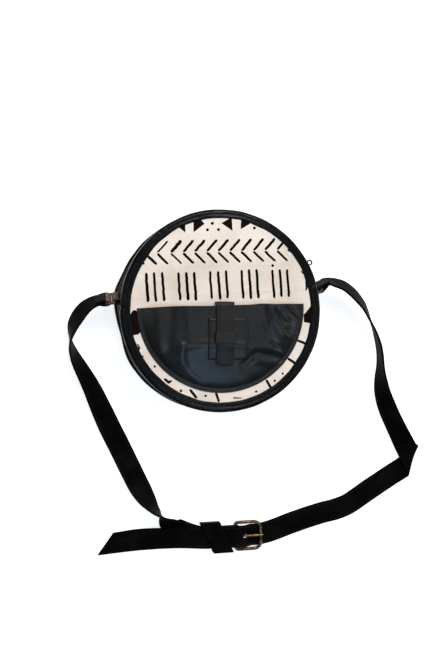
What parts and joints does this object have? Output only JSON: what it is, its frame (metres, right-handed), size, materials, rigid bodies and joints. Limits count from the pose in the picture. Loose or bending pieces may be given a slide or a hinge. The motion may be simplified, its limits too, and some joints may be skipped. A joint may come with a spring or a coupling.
{
  "type": "round shoulder bag",
  "caption": "Round shoulder bag lying on its back: printed cloth front, half round leather pocket with a closure strap, zip round the top, and a buckled strap on rings.",
  "frame": {"origin": "middle of the back panel's outer face, where the bag lies", "axes": "+Z out of the front panel, +Y to the top of the bag where the zip is, +X to the right seen from the front"},
  "size_m": [0.4065, 0.3904, 0.078],
  "materials": {
    "leather_black": "smooth black leather with a soft sheen",
    "leather_strap": "black strap leather, low sheen",
    "piping_black": "glossy black piping",
    "cloth_print": "cream cotton cloth with a dark mud cloth print",
    "board": "bonded leather board",
    "lining": "dark woven lining",
    "zip_tape": "black woven tape",
    "zip_metal": "antique brass zip teeth and stops",
    "slider_metal": "grey metal slider and pull",
    "antique_brass": "antique brass rings and buckle"
  },
  "bodies": {
    "bag": {"back_panel": "leather_black", "back_board": "board", "back_lining": "lining", "back_piping": "piping_black", "lower_gusset": "leather_black", "zip_gusset_back": "leather_black", "zip_gusset_ends": "leather_black", "gusset_lining": "lining", "front_panel_lower": "cloth_print", "front_board_lower": "board", "front_lining_lower": "lining", "front_piping_lower": "piping_black", "zip_tape_back": "zip_tape", "zip_tape_ends": "zip_tape", "zip_teeth_back": "zip_metal", "zip_teeth_ends": "zip_metal", "zip_stops": "zip_metal", "pocket_panel": "leather_black", "closure_patch": "leather_black", "closure_loop": "leather_black", "closure_strap": "leather_black", "ring_tab_left": "leather_black", "ring_tab_right": "leather_black", "strap_left": "leather_strap", "strap_right": "leather_strap", "buckle_chape": "leather_strap", "buckle_frame": "antique_brass", "strap_keeper": "leather_strap"},
    "mouth": {"front_panel_upper": "cloth_print", "front_board_upper": "board", "front_lining_upper": "lining", "front_piping_upper": "piping_black", "zip_gusset_front": "leather_black", "front_gusset_lining": "lining", "zip_tape_front": "zip_tape", "zip_teeth_front": "zip_metal"},
    "slider": {"zip_slider": "slider_metal"},
    "pull": {"zip_pull": "slider_metal"},
    "left_ring": {"ring_left": "antique_brass", "strap_loop_left": "leather_strap"},
    "right_ring": {"ring_right": "antique_brass", "strap_loop_right": "leather_strap"},
    "prong": {"buckle_prong": "antique_brass"}
  },
  "joints": [
    {"name": "mouth_open", "type": "hinge", "parent": "bag", "child": "mouth", "pos_m": [0, 0.0545, 0.065], "axis": [1, 0, 0], "range_deg": [0, 40]},
    {"name": "zip_slide", "type": "hinge", "parent": "bag", "child": "slider", "pos_m": [0, 0, 0.0325], "axis": [0, 0, 1], "range_deg": [0, 133]},
    {"name": "pull_swing", "type": "hinge", "parent": "slider", "child": "pull", "pos_m": [0.10217, 0.04873, 0.0325], "axis": [0, 0, 1], "range_deg": [-35, 50]},
    {"name": "left_ring_swing", "type": "hinge", "parent": "bag", "child": "left_ring", "pos_m": [-0.11507, 0.01822, 0.0325], "axis": [-0.0586, -0.37, 0.9272], "range_deg": [-35, 5]},
    {"name": "right_ring_swing", "type": "hinge", "parent": "bag", "child": "right_ring", "pos_m": [0.11161, 0.01768, 0.0325], "axis": [0.0325, -0.2054, 0.9781], "range_deg": [-48, 22]},
    {"name": "prong_lift", "type": "hinge", "parent": "bag", "child": "prong", "pos_m": [0.017, -0.2593, 0.0057], "axis": [0, -1, 0], "range_deg": [0, 8]}
  ]
}
